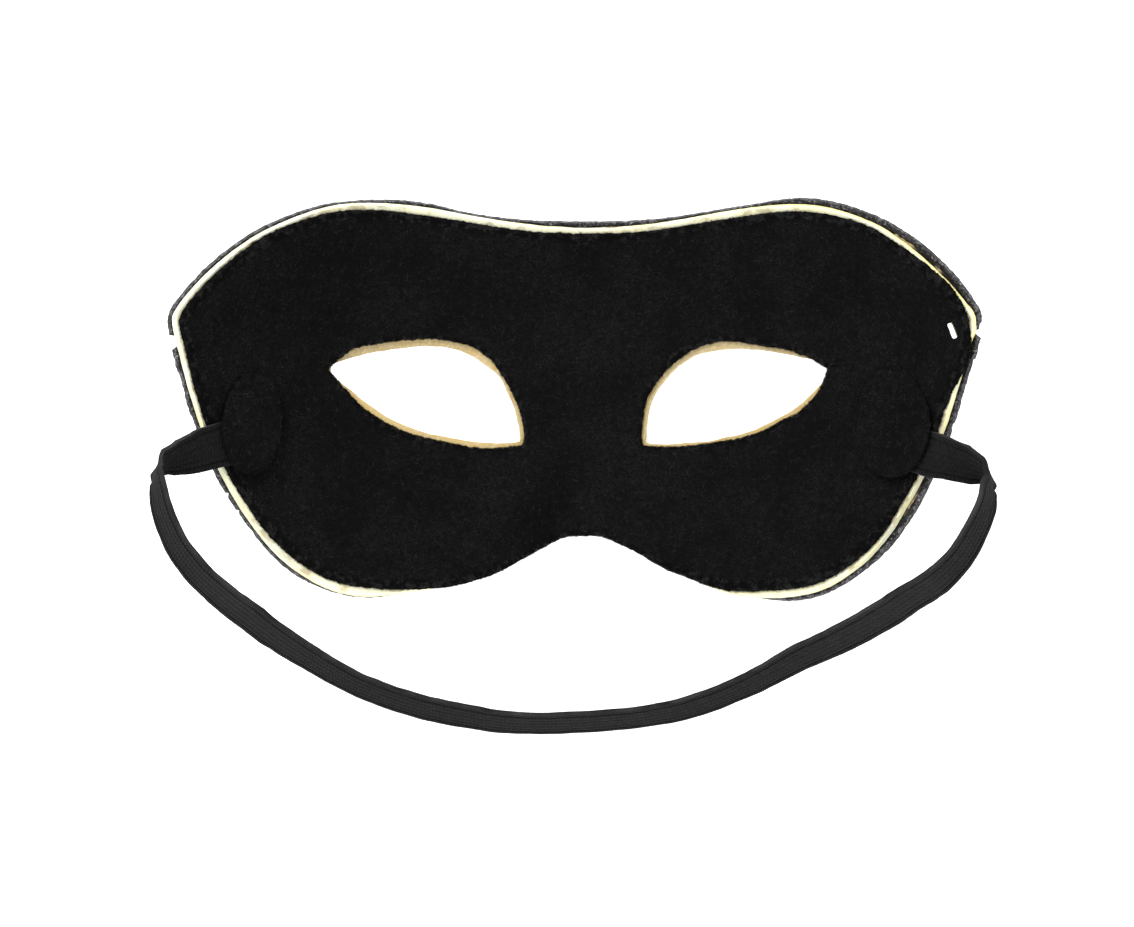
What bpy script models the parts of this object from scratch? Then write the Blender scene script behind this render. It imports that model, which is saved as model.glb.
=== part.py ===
"""A half-face party mask, lying on its outer face with the hollow side up and its elastic strap laid below it.

Metres. X runs across the face, Y from the cheeks to the forehead, Z up from the floor at Z = 0.
"""
import math

import bmesh
import bpy
from mathutils import Vector

OBJECT_NAME = "party_eye_mask"

# Outline of the mask, seen square on
WIDTH = 0.1805
HEIGHT = 0.090
HALF_WIDTH = WIDTH / 2
HALF_HEIGHT = HEIGHT / 2
LOBE_ACROSS = 0.0468     # from the middle to the highest point of the forehead edge
TOP_DIP = 0.0042         # dip of the forehead edge in the middle
TEMPLE_UP = 0.0178       # height of the temple, the widest point
CHEEK_ACROSS = 0.046     # from the middle to the lowest point of the cheek
NOTCH_RISE = 0.0141      # height of the nose notch over the cheeks

# Bend of the shell
WRAP_DEPTH = 0.0438      # rise of the temples over the middle
WRAP_REACH = 0.0108      # how far the wrap's ellipse reaches past the temples
FACE_RISE = 0.016        # rise of the cheek edge over the floor
NOSE_HALF_WIDTH = 0.024  # half the foot of the nose bridge at the notch
REST_PRESS = 0.0010      # how far the brow and nose are pressed flat on the floor
REST_BLEND = 0.0008      # softness of the edge round the pressed patches

# Eye openings
EYE_WIDTH = 0.042
EYE_HEIGHT = 0.0222
EYE_ACROSS = 0.0356      # from the middle to the eye's own middle
EYE_UP = 0.0013
EYE_CORNER_DROP = 0.0144  # from the eye's middle down to the level of its inner corner's foot

# Layers, from the floor up
COVER_WALL = 0.0010
CORE_WALL = 0.0012
LINING_WALL = 0.0010
LAYER_GAP = 0.0004
CORE_STEP = 0.0011       # how far the core's edge lies inside the cover's
LINING_STEP = 0.0026     # how far the lining's edge lies inside the cover's
EYE_COVER_STEP = 0.0003  # how far the cover stays back from the core round the eyes
EYE_LINING_STEP = 0.0014 # how far the lining stays back from the core round the eyes

# Small slot through all the layers, near one temple
SLOT_LENGTH = 0.0037
SLOT_WIDTH = 0.0012
SLOT_ACROSS = 0.0838
SLOT_UP = 0.0147
SLOT_LEAN = 20.0         # degrees
SLOT_ROUNDING = 0.46     # corner radius as a share of SLOT_WIDTH

# Elastic strap and the felt patches over its ends
STRAP_WIDTH = 0.010
STRAP_THICK = 0.0010
PATCH_WALL = 0.0010
PATCH_MARGIN = 0.0009    # play beside the strap under a patch
PATCH_ROOM = 0.0005      # play over and under the strap, together
PATCH_SLOPE = 0.0045     # run of a patch from the strap down to the lining

# Mesh density
PER_ROW = 2              # edge points for each row of an outline table
CENTRE_LOW = 3           # middle-line points below the eyes' inner corners
CENTRE_HIGH = 9          # middle-line points above them
RINGS = 6                # rings of faces between an eye and the outer edge
PATCH_SIDES = 20
PATCH_RINGS = (1.0, 0.9, 0.66, 0.33)    # shares of a patch's half sizes
LID_STEPS = 8            # fine points for each row of a lid
SLOPE_REACH = 0.0004     # how far apart heights are compared for a slope
WRAP_LIMIT = 0.99        # share of the wrap's ellipse that is used at most
MITRE_LIMIT = 1.4        # the most that a corner's step is lengthened
MERGE = 0.00005          # distance under which the mirrored halves are joined

# Forehead edge from the middle to the lobe: share of LOBE_ACROSS, share of TOP_DIP
FOREHEAD_EDGE = (
    (0.00, 1.00),
    (0.31, 0.93),
    (0.65, 0.38),
    (1.00, 0.00),
)

# Lobe to temple: share of the way out, share of the way down
TEMPLE_EDGE = (
    (0.29, 0.06),
    (0.58, 0.26),
    (0.81, 0.56),
    (0.96, 0.86),
    (1.00, 1.00),
)

# Temple to cheek: share of the way in, share of the way down
CHEEK_EDGE = (
    (0.02, 0.10),
    (0.08, 0.26),
    (0.15, 0.42),
    (0.275, 0.61),
    (0.47, 0.815),
    (0.69, 0.94),
    (0.84, 0.985),
    (1.00, 1.00),
)

# Cheek to the middle of the notch: share of the way in, share of NOTCH_RISE, share of the layers' steps
NOTCH_EDGE = (
    (0.18, 0.07, 0.80),
    (0.36, 0.18, 0.45),
    (0.51, 0.35, 0.25),
    (0.65, 0.53, 0.15),
    (0.77, 0.75, 0.10),
    (0.90, 0.95, 0.10),
    (1.00, 1.00, 0.10),
)

# Lids from the inner to the outer corner: shares of half the eye's width and height from its middle
UPPER_LID = (
    (-1.00, -0.98),
    (-1.01, -0.62),
    (-0.94, -0.08),
    (-0.70, 0.54),
    (-0.35, 0.93),
    (0.03, 1.00),
    (0.65, 0.77),
    (1.00, 0.50),
)
LOWER_LID = (
    (-1.00, -0.98),
    (-0.68, -1.00),
    (-0.20, -0.91),
    (0.27, -0.65),
    (0.61, -0.28),
    (0.85, 0.13),
    (1.00, 0.50),
)

# Rows down the face: level as a share of HALF_HEIGHT, height of the face and of the nose bridge
# as shares of FACE_RISE, and half width of the bridge as a share of NOSE_HALF_WIDTH
SECTIONS = (
    (1.10, 0.98, 0.98, 1.00),
    (0.60, 0.24, 0.24, 0.95),
    (0.27, 0.00, 0.00, 0.85),
    (-0.05, 0.16, 0.13, 0.62),
    (-0.40, 0.41, 0.07, 0.76),
    (-0.70, 0.64, -0.04, 1.00),
    (-1.10, 1.12, -0.20, 1.15),
)

# Patches: name, middle across and up, half its size across and up
PATCHES = (
    ("patch_left", -0.0728, -0.0056, 0.0060, 0.0118),
    ("patch_right", 0.0708, -0.0058, 0.0085, 0.0123),
)

# Route of the strap's middle line from the left patch to the right one: across, up, height, and the lean
# of the band in degrees, 0 on edge and 90 flat
STRAP_ROUTE = (
    (-0.0703, -0.0082, 0.0309, -92),
    (-0.0780, -0.0103, 0.0386, -89),
    (-0.0808, -0.0111, 0.0419, -76),
    (-0.0845, -0.0124, 0.0455, -54),
    (-0.0876, -0.0134, 0.0477, -41),
    (-0.0899, -0.0143, 0.0489, -24),
    (-0.0914, -0.0160, 0.0498, 16),
    (-0.0912, -0.0182, 0.0506, 26),
    (-0.0908, -0.0208, 0.0511, 31),
    (-0.0902, -0.0241, 0.0512, 34),
    (-0.0889, -0.0281, 0.0505, 37),
    (-0.0868, -0.0332, 0.0482, 40),
    (-0.0834, -0.0386, 0.0444, 43),
    (-0.0791, -0.0438, 0.0374, 46),
    (-0.0745, -0.0487, 0.0290, 50),
    (-0.0689, -0.0542, 0.0202, 46),
    (-0.0619, -0.0596, 0.0120, 40),
    (-0.0532, -0.0651, 0.0067, 36),
    (-0.0418, -0.0696, 0.0050, 35),
    (-0.0291, -0.0726, 0.0050, 35),
    (-0.0145, -0.0745, 0.0050, 30),
    (0.0140, -0.0729, 0.0050, 29),
    (0.0267, -0.0700, 0.0051, 31),
    (0.0384, -0.0652, 0.0065, 32),
    (0.0492, -0.0593, 0.0113, 38),
    (0.0592, -0.0542, 0.0191, 42),
    (0.0677, -0.0492, 0.0279, 43),
    (0.0748, -0.0442, 0.0365, 43),
    (0.0811, -0.0395, 0.0440, 40),
    (0.0858, -0.0341, 0.0479, 36),
    (0.0887, -0.0287, 0.0503, 32),
    (0.0904, -0.0247, 0.0513, 28),
    (0.0911, -0.0217, 0.0515, 22),
    (0.0913, -0.0197, 0.0511, 20),
    (0.0917, -0.0179, 0.0504, 10),
    (0.0905, -0.0162, 0.0495, -22),
    (0.0873, -0.0148, 0.0476, -50),
    (0.0828, -0.0136, 0.0446, -68),
    (0.0788, -0.0126, 0.0400, -87),
    (0.0680, -0.0089, 0.0293, -90),
)
STRAP_PER_ROW = 2


def clear_scene():
    """Remove what the open file holds."""
    for old in list(bpy.data.objects):
        bpy.data.objects.remove(old, do_unlink=True)


def curve_through(rows, per_row, before=None, after=None):
    """Points on a smooth centripetal curve through the rows, per_row of them from each row to the next."""
    points = [Vector(row) for row in rows]
    first = Vector(before) if before else 2 * points[0] - points[1]
    last = Vector(after) if after else 2 * points[-1] - points[-2]
    points = [first] + points + [last]
    found = []
    for p0, p1, p2, p3 in zip(points, points[1:], points[2:], points[3:]):
        t1 = (p1 - p0).length ** 0.5
        t2 = t1 + (p2 - p1).length ** 0.5
        t3 = t2 + (p3 - p2).length ** 0.5
        for step in range(per_row):
            t = t1 + (t2 - t1) * step / per_row
            a1 = p0 * ((t1 - t) / t1) + p1 * (t / t1)
            a2 = p1 * ((t2 - t) / (t2 - t1)) + p2 * ((t - t1) / (t2 - t1))
            a3 = p2 * ((t3 - t) / (t3 - t2)) + p3 * ((t - t2) / (t3 - t2))
            b1 = a1 * ((t2 - t) / t2) + a2 * (t / t2)
            b2 = a2 * ((t3 - t) / (t3 - t1)) + a3 * ((t - t1) / (t3 - t1))
            found.append(b1 * ((t2 - t) / (t2 - t1)) + b2 * ((t - t1) / (t2 - t1)))
    found.append(points[-2])
    return found


def even_steps(points, count):
    """Points at count equal steps along a polyline, both ends included."""
    runs = [0.0]
    for a, b in zip(points, points[1:]):
        runs.append(runs[-1] + (b - a).length)
    found = []
    leg = 0
    for step in range(count):
        goal = runs[-1] * step / count
        while runs[leg + 1] < goal:
            leg += 1
        share = (goal - runs[leg]) / (runs[leg + 1] - runs[leg])
        found.append(points[leg].lerp(points[leg + 1], share))
    found.append(points[-1])
    return found


def section_at(up):
    """Height of the face, height of the bridge and half width of the bridge at a level, smoothly between rows."""
    level = up / HALF_HEIGHT
    low = len(SECTIONS) - 2
    while low > 0 and level > SECTIONS[low][0]:
        low -= 1
    a, b = SECTIONS[low], SECTIONS[low + 1]
    run = b[0] - a[0]
    share = (level - a[0]) / run
    values = []
    for column in range(1, 4):
        slopes = []
        for row in (low, low + 1):
            above = SECTIONS[max(row - 1, 0)]
            below = SECTIONS[min(row + 1, len(SECTIONS) - 1)]
            slopes.append(run * (below[column] - above[column]) / (below[0] - above[0]))
        s2, s3 = share * share, share ** 3
        values.append((2 * s3 - 3 * s2 + 1) * a[column] + (s3 - 2 * s2 + share) * slopes[0]
                      + (3 * s2 - 2 * s3) * b[column] + (s3 - s2) * slopes[1])
    return values[0] * FACE_RISE, values[1] * FACE_RISE, values[2] * NOSE_HALF_WIDTH


def wrap_rise(across):
    """Rise of the shell as it wraps round to the temples, on an ellipse."""
    reach = HALF_WIDTH + WRAP_REACH
    whole = 1 - math.sqrt(1 - (HALF_WIDTH / reach) ** 2)
    return WRAP_DEPTH * (1 - math.sqrt(1 - min(abs(across) / reach, WRAP_LIMIT) ** 2)) / whole


def outer_height(across, up):
    """Height of the cover's outer face over the floor."""
    face, bridge, half = section_at(up)
    nose = math.cos(math.pi / 2 * min(abs(across) / half, 1)) ** 2
    height = wrap_rise(across) + face + (bridge - face) * nose - REST_PRESS
    return height * height / (height + REST_BLEND) if height > 0 else 0.0


def height_at(across, up, depth):
    """Height of the face that lies a given depth inside the cover's outer face."""
    reach = SLOPE_REACH
    slope_x = (outer_height(across + reach, up) - outer_height(across - reach, up)) / (2 * reach)
    slope_y = (outer_height(across, up + reach) - outer_height(across, up - reach)) / (2 * reach)
    return outer_height(across, up) + depth * math.sqrt(1 + slope_x ** 2 + slope_y ** 2)


def outline_rows():
    """Rows of the right half's outline from the forehead's middle to the notch's: across, up, lining's step."""
    rows = [(x * LOBE_ACROSS, HALF_HEIGHT - dip * TOP_DIP, 1) for x, dip in FOREHEAD_EDGE]
    out, drop = HALF_WIDTH - LOBE_ACROSS, HALF_HEIGHT - TEMPLE_UP
    rows += [(LOBE_ACROSS + x * out, HALF_HEIGHT - y * drop, 1) for x, y in TEMPLE_EDGE]
    out, drop = HALF_WIDTH - CHEEK_ACROSS, HALF_HEIGHT + TEMPLE_UP
    rows += [(HALF_WIDTH - x * out, TEMPLE_UP - y * drop, 1) for x, y in CHEEK_EDGE]
    rows += [(CHEEK_ACROSS * (1 - x), NOTCH_RISE * y - HALF_HEIGHT, step) for x, y, step in NOTCH_EDGE]
    return [(x, y, step * LINING_STEP) for x, y, step in rows]


def stepped(points, distances, closed):
    """Plan points moved to the left of their way by the distances, with mitred corners."""
    moved = []
    count = len(points)
    for i, point in enumerate(points):
        before = points[i - 1] if closed or i else point
        after = points[(i + 1) % count] if closed or i < count - 1 else point
        ways = [(b - a).normalized() for a, b in ((before, point), (point, after)) if (b - a).length > 0]
        normals = [Vector((-way.y, way.x)) for way in ways]
        middle = sum(normals, Vector((0, 0))).normalized()
        if not closed and i in (0, count - 1):
            middle = Vector((0, math.copysign(1, middle.y)))
        mitre = 1 / max(middle.dot(normals[0]), 1 / MITRE_LIMIT)
        moved.append(point + middle * (distances[i] * mitre))
    return moved


def rim_loop(step):
    """Plan loop round the right half: temple, cheek, notch, up the middle line, forehead."""
    rows = outline_rows()
    mirror = [(-x, y, s) for x, y, s in (rows[1], rows[-2])]
    edge = curve_through(rows, PER_ROW, mirror[0], mirror[1])
    edge = stepped([p.to_2d() for p in edge], [-step / LINING_STEP * p.z for p in edge], False)
    temple = PER_ROW * (len(FOREHEAD_EDGE) + len(TEMPLE_EDGE) - 1)
    notch, top = edge[-1], edge[0]
    corner = Vector((0, EYE_UP - EYE_CORNER_DROP))
    middle = even_steps([notch, corner], CENTRE_LOW)[1:] + even_steps([corner, top], CENTRE_HIGH)[1:-1]
    return edge[temple:] + middle + edge[:temple]


def eye_loop(step, lower_count, upper_count):
    """Plan loop round the right eye: outer corner, lower lid, inner corner, upper lid."""
    lids = []
    for table, count in ((LOWER_LID[::-1], lower_count), (UPPER_LID, upper_count)):
        rows = [(EYE_ACROSS + x * EYE_WIDTH / 2, EYE_UP + y * EYE_HEIGHT / 2, 0) for x, y in table]
        fine = [p.to_2d() for p in curve_through(rows, LID_STEPS)]
        lids += even_steps(fine, count)[:-1]
    return stepped(lids, [step] * len(lids), True)


def new_object(name, mesh_build, material, collection):
    """An object from a filled bmesh."""
    mesh = bpy.data.meshes.new(name)
    mesh_build.to_mesh(mesh)
    mesh_build.free()
    mesh.materials.append(material)
    made = bpy.data.objects.new(name, mesh)
    collection.objects.link(made)
    return made


def add_solidify(made, wall, offset):
    """Give an open face its wall."""
    solidify = made.modifiers.new("wall", "SOLIDIFY")
    solidify.thickness = wall
    solidify.offset = offset
    solidify.use_even_offset = True


def soften(made):
    """Shade the broad faces smooth and keep the cut edges sharp."""
    made.data.shade_smooth()
    made.data.set_sharp_from_angle(angle=math.radians(40))


def loft(mesh_build, rings, closed):
    """Faces between rings of points that follow each other."""
    made = [[mesh_build.verts.new(point) for point in ring] for ring in rings]
    for ring, after in zip(made, made[1:]):
        count = len(ring)
        for i in range(count if closed else count - 1):
            j = (i + 1) % count
            mesh_build.faces.new((ring[i], ring[j], after[j], after[i]))
    return made


def build_layer(name, depth, wall, rim_step, eye_step, material, collection, cutter):
    """One layer of the shell: a half between its rim and its eye, mirrored, walled and slotted."""
    outer = rim_loop(rim_step)
    lower_count = PER_ROW * (len(CHEEK_EDGE) + len(NOTCH_EDGE)) + CENTRE_LOW
    inner = eye_loop(eye_step, lower_count, len(outer) - lower_count)
    rings = []
    for ring in range(RINGS + 1):
        plan = [a.lerp(b, ring / RINGS) for a, b in zip(outer, inner)]
        rings.append([(p.x, p.y, height_at(p.x, p.y, depth)) for p in plan])
    mesh_build = bmesh.new()
    loft(mesh_build, rings, True)
    made = new_object(name, mesh_build, material, collection)
    mirror = made.modifiers.new("other_half", "MIRROR")
    mirror.use_clip = True
    mirror.merge_threshold = MERGE
    add_solidify(made, wall, -1)
    cut = made.modifiers.new("slot", "BOOLEAN")
    cut.operation = "DIFFERENCE"
    cut.object = cutter
    soften(made)
    return made


def build_slot_cutter(collection):
    """Upright slot with round ends."""
    mesh_build = bmesh.new()
    bmesh.ops.create_cube(mesh_build, size=1)
    bmesh.ops.scale(mesh_build, vec=(SLOT_WIDTH, SLOT_LENGTH, WRAP_DEPTH), verts=mesh_build.verts)
    upright = [e for e in mesh_build.edges if abs(e.verts[0].co.z - e.verts[1].co.z) > SLOT_WIDTH]
    bmesh.ops.bevel(mesh_build, geom=upright, offset=SLOT_WIDTH * SLOT_ROUNDING, segments=3, profile=0.5,
                    affect="EDGES")
    made = new_object("slot_cutter", mesh_build, bpy.data.materials.new("cutter"), collection)
    made.location = (SLOT_ACROSS, SLOT_UP, height_at(SLOT_ACROSS, SLOT_UP, COVER_WALL))
    made.rotation_euler.z = math.radians(SLOT_LEAN)
    made.hide_render = True
    made.display_type = "WIRE"
    return made


def strap_sections():
    """Middle and width direction of the band at each station of its route."""
    stations = curve_through([row[:3] for row in STRAP_ROUTE], STRAP_PER_ROW)
    found = []
    for i, middle in enumerate(stations):
        before, after = stations[max(i - 1, 0)], stations[min(i + 1, len(stations) - 1)]
        way = (after - before).normalized()
        side = Vector((0, 0, 1)).cross(way).normalized()
        upright = way.cross(side)
        row, part = divmod(i, STRAP_PER_ROW)
        ends = STRAP_ROUTE[row][3], STRAP_ROUTE[min(row + 1, len(STRAP_ROUTE) - 1)][3]
        lean = math.radians(ends[0] + (ends[1] - ends[0]) * part / STRAP_PER_ROW)
        found.append((middle, side * math.sin(lean) + upright * math.cos(lean)))
    return found


def build_strap(material, collection):
    """The flat elastic band."""
    half = STRAP_WIDTH / 2
    rings = [(middle - wide * half, middle + wide * half) for middle, wide in strap_sections()]
    mesh_build = bmesh.new()
    loft(mesh_build, rings, False)
    made = new_object("elastic_strap", mesh_build, material, collection)
    add_solidify(made, STRAP_THICK, 0)
    soften(made)
    return made


def strap_distance(place):
    """Plan distance from a place to the nearest stretch of the strap's middle line."""
    nearest = HALF_WIDTH
    stations = [Vector(row[:2]) for row in STRAP_ROUTE]
    for a, b in ((stations[0], stations[1]), (stations[-1], stations[-2])):
        leg = b - a
        share = max((place - a).dot(leg) / leg.length_squared, 0)
        nearest = min(nearest, (place - a - leg * share).length)
    return nearest


def patch_height(across, up):
    """Height of a patch's underside: on the lining, and raised over the strap's end."""
    inner = STRAP_WIDTH / 2 + PATCH_MARGIN
    share = (inner + PATCH_SLOPE - strap_distance(Vector((across, up)))) / PATCH_SLOPE
    share = min(max(share, 0), 1)
    lift = (STRAP_THICK + PATCH_ROOM) * share * share * (3 - 2 * share)
    return height_at(across, up, LINING_TOP + LAYER_GAP + lift)


def build_patch(row, material, collection):
    """One oval felt patch, laid over the strap's end."""
    name, across, up, half_across, half_up = row
    rings = []
    for reach in PATCH_RINGS:
        ring = []
        for side in range(PATCH_SIDES):
            turn = -2 * math.pi * side / PATCH_SIDES
            x = across + half_across * reach * math.cos(turn)
            y = up + half_up * reach * math.sin(turn)
            ring.append((x, y, patch_height(x, y)))
        rings.append(ring)
    mesh_build = bmesh.new()
    inner = loft(mesh_build, rings, True)[-1]
    middle = mesh_build.verts.new((across, up, patch_height(across, up)))
    for i, vert in enumerate(inner):
        mesh_build.faces.new((vert, inner[(i + 1) % PATCH_SIDES], middle))
    made = new_object(name, mesh_build, material, collection)
    add_solidify(made, PATCH_WALL, -1)
    soften(made)
    return made


def make_material(name, colour, roughness):
    """A plain Principled material."""
    material = bpy.data.materials.new(name)
    material.use_nodes = True
    shader = material.node_tree.nodes["Principled BSDF"]
    shader.inputs["Base Color"].default_value = (*colour, 1)
    shader.inputs["Roughness"].default_value = roughness
    shader.inputs["Metallic"].default_value = 0
    return material


CORE_DEPTH = COVER_WALL + LAYER_GAP
LINING_DEPTH = CORE_DEPTH + CORE_WALL + LAYER_GAP
LINING_TOP = LINING_DEPTH + LINING_WALL


def main():
    """Build the whole object."""
    clear_scene()
    parts = bpy.data.collections.new(OBJECT_NAME)
    cutters = bpy.data.collections.new("cutters")
    for collection in (parts, cutters):
        bpy.context.scene.collection.children.link(collection)
    cutter = build_slot_cutter(cutters)
    cover = make_material("textured_cover", (0.030, 0.030, 0.034), 0.55)
    core = make_material("cream_core", (0.86, 0.82, 0.70), 0.80)
    felt = make_material("black_felt", (0.008, 0.008, 0.008), 0.95)
    elastic = make_material("black_elastic", (0.020, 0.020, 0.022), 0.70)
    build_layer("outer_cover", 0, COVER_WALL, 0, EYE_COVER_STEP, cover, parts, cutter)
    build_layer("shell_core", CORE_DEPTH, CORE_WALL, CORE_STEP, 0, core, parts, cutter)
    build_layer("felt_lining", LINING_DEPTH, LINING_WALL, LINING_STEP, EYE_LINING_STEP, felt, parts, cutter)
    for row in PATCHES:
        build_patch(row, felt, parts)
    build_strap(elastic, parts)


main()
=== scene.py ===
"""Looks of a half-face party mask that lies on its outer face with the hollow side up.

Metres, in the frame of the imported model: X runs across the face, Y up the face, Z up from the floor.
"""
import logging
import math
from dataclasses import dataclass
from enum import Enum

import bmesh
import bpy
from mathutils import Matrix, Vector, kdtree, noise


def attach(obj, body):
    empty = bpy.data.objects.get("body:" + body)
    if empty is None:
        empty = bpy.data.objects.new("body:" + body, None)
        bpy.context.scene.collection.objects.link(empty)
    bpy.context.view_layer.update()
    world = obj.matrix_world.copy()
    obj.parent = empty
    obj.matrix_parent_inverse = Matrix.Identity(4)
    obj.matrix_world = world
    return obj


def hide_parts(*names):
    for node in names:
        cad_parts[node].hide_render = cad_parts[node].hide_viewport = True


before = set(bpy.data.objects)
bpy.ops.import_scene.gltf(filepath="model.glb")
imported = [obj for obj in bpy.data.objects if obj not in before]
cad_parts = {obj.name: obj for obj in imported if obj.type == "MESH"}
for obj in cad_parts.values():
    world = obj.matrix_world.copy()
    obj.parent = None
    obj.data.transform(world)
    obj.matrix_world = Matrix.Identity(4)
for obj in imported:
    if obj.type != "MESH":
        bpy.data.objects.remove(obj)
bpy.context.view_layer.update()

LOG = logging.getLogger("party_eye_mask")
BODY = "root"
MILLIMETRE = 0.001
MERGE = 0.00001
WHITE = (1.0, 1.0, 1.0, 1.0)
EDGE_WAVE = 0.0012           # size of the waves that bend the bands of a cut edge
FUZZ_SHADE = (0.40, 0.72)    # noise levels from dark to light in matted fibres
FUZZ_CLOUD = (0.3, 0.7)      # the same in the clouds over them
SHEET_TURN = math.radians(40)    # the most that neighbour faces of one sheet turn
CORNER_TURN = math.radians(80)   # the most that a joined face's corners differ

Item = bpy.types.Object
Material = bpy.types.Material
Socket = bpy.types.NodeSocket

# Middle line of the elastic from the left patch to the right one: across, up, height, and the lean of the
# band in degrees, 0 on edge and 90 flat
STRAP_ROUTE = (
    (-0.0703, -0.0082, 0.0309, -92), (-0.0780, -0.0103, 0.0386, -89), (-0.0808, -0.0111, 0.0419, -76),
    (-0.0845, -0.0124, 0.0455, -54), (-0.0876, -0.0134, 0.0477, -41), (-0.0899, -0.0143, 0.0489, -24),
    (-0.0914, -0.0160, 0.0498, 16), (-0.0912, -0.0182, 0.0506, 26), (-0.0908, -0.0208, 0.0511, 31),
    (-0.0902, -0.0241, 0.0512, 34), (-0.0889, -0.0281, 0.0505, 37), (-0.0868, -0.0332, 0.0482, 40),
    (-0.0834, -0.0386, 0.0444, 43), (-0.0791, -0.0438, 0.0374, 46), (-0.0745, -0.0487, 0.0290, 50),
    (-0.0689, -0.0542, 0.0202, 46), (-0.0619, -0.0596, 0.0120, 40), (-0.0532, -0.0651, 0.0067, 36),
    (-0.0418, -0.0696, 0.0050, 35), (-0.0291, -0.0726, 0.0050, 35), (-0.0145, -0.0745, 0.0050, 30),
    (0.0140, -0.0729, 0.0050, 29), (0.0267, -0.0700, 0.0051, 31), (0.0384, -0.0652, 0.0065, 32),
    (0.0492, -0.0593, 0.0113, 38), (0.0592, -0.0542, 0.0191, 42), (0.0677, -0.0492, 0.0279, 43),
    (0.0748, -0.0442, 0.0365, 43), (0.0811, -0.0395, 0.0440, 40), (0.0858, -0.0341, 0.0479, 36),
    (0.0887, -0.0287, 0.0503, 32), (0.0904, -0.0247, 0.0513, 28), (0.0911, -0.0217, 0.0515, 22),
    (0.0913, -0.0197, 0.0511, 20), (0.0917, -0.0179, 0.0504, 10), (0.0905, -0.0162, 0.0495, -22),
    (0.0873, -0.0148, 0.0476, -50), (0.0828, -0.0136, 0.0446, -68), (0.0788, -0.0126, 0.0400, -87),
    (0.0680, -0.0089, 0.0293, -90),
)


class Edge(Enum):
    """The cut edges of a layer, each by the plan place of its middle."""

    RIM = (0.0, 0.0)
    LEFT_EYE = (-0.0356, 0.0013)
    RIGHT_EYE = (0.0356, 0.0013)


class Layer(Enum):
    """The layers of the shell, each by its column in EDGE_TRIM."""

    COVER = 1
    CORE = 2
    LINING = 3


EYE_ROOM = (0.027, 0.018)    # half sizes of the plan box round an eye's middle that holds its whole edge

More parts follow.
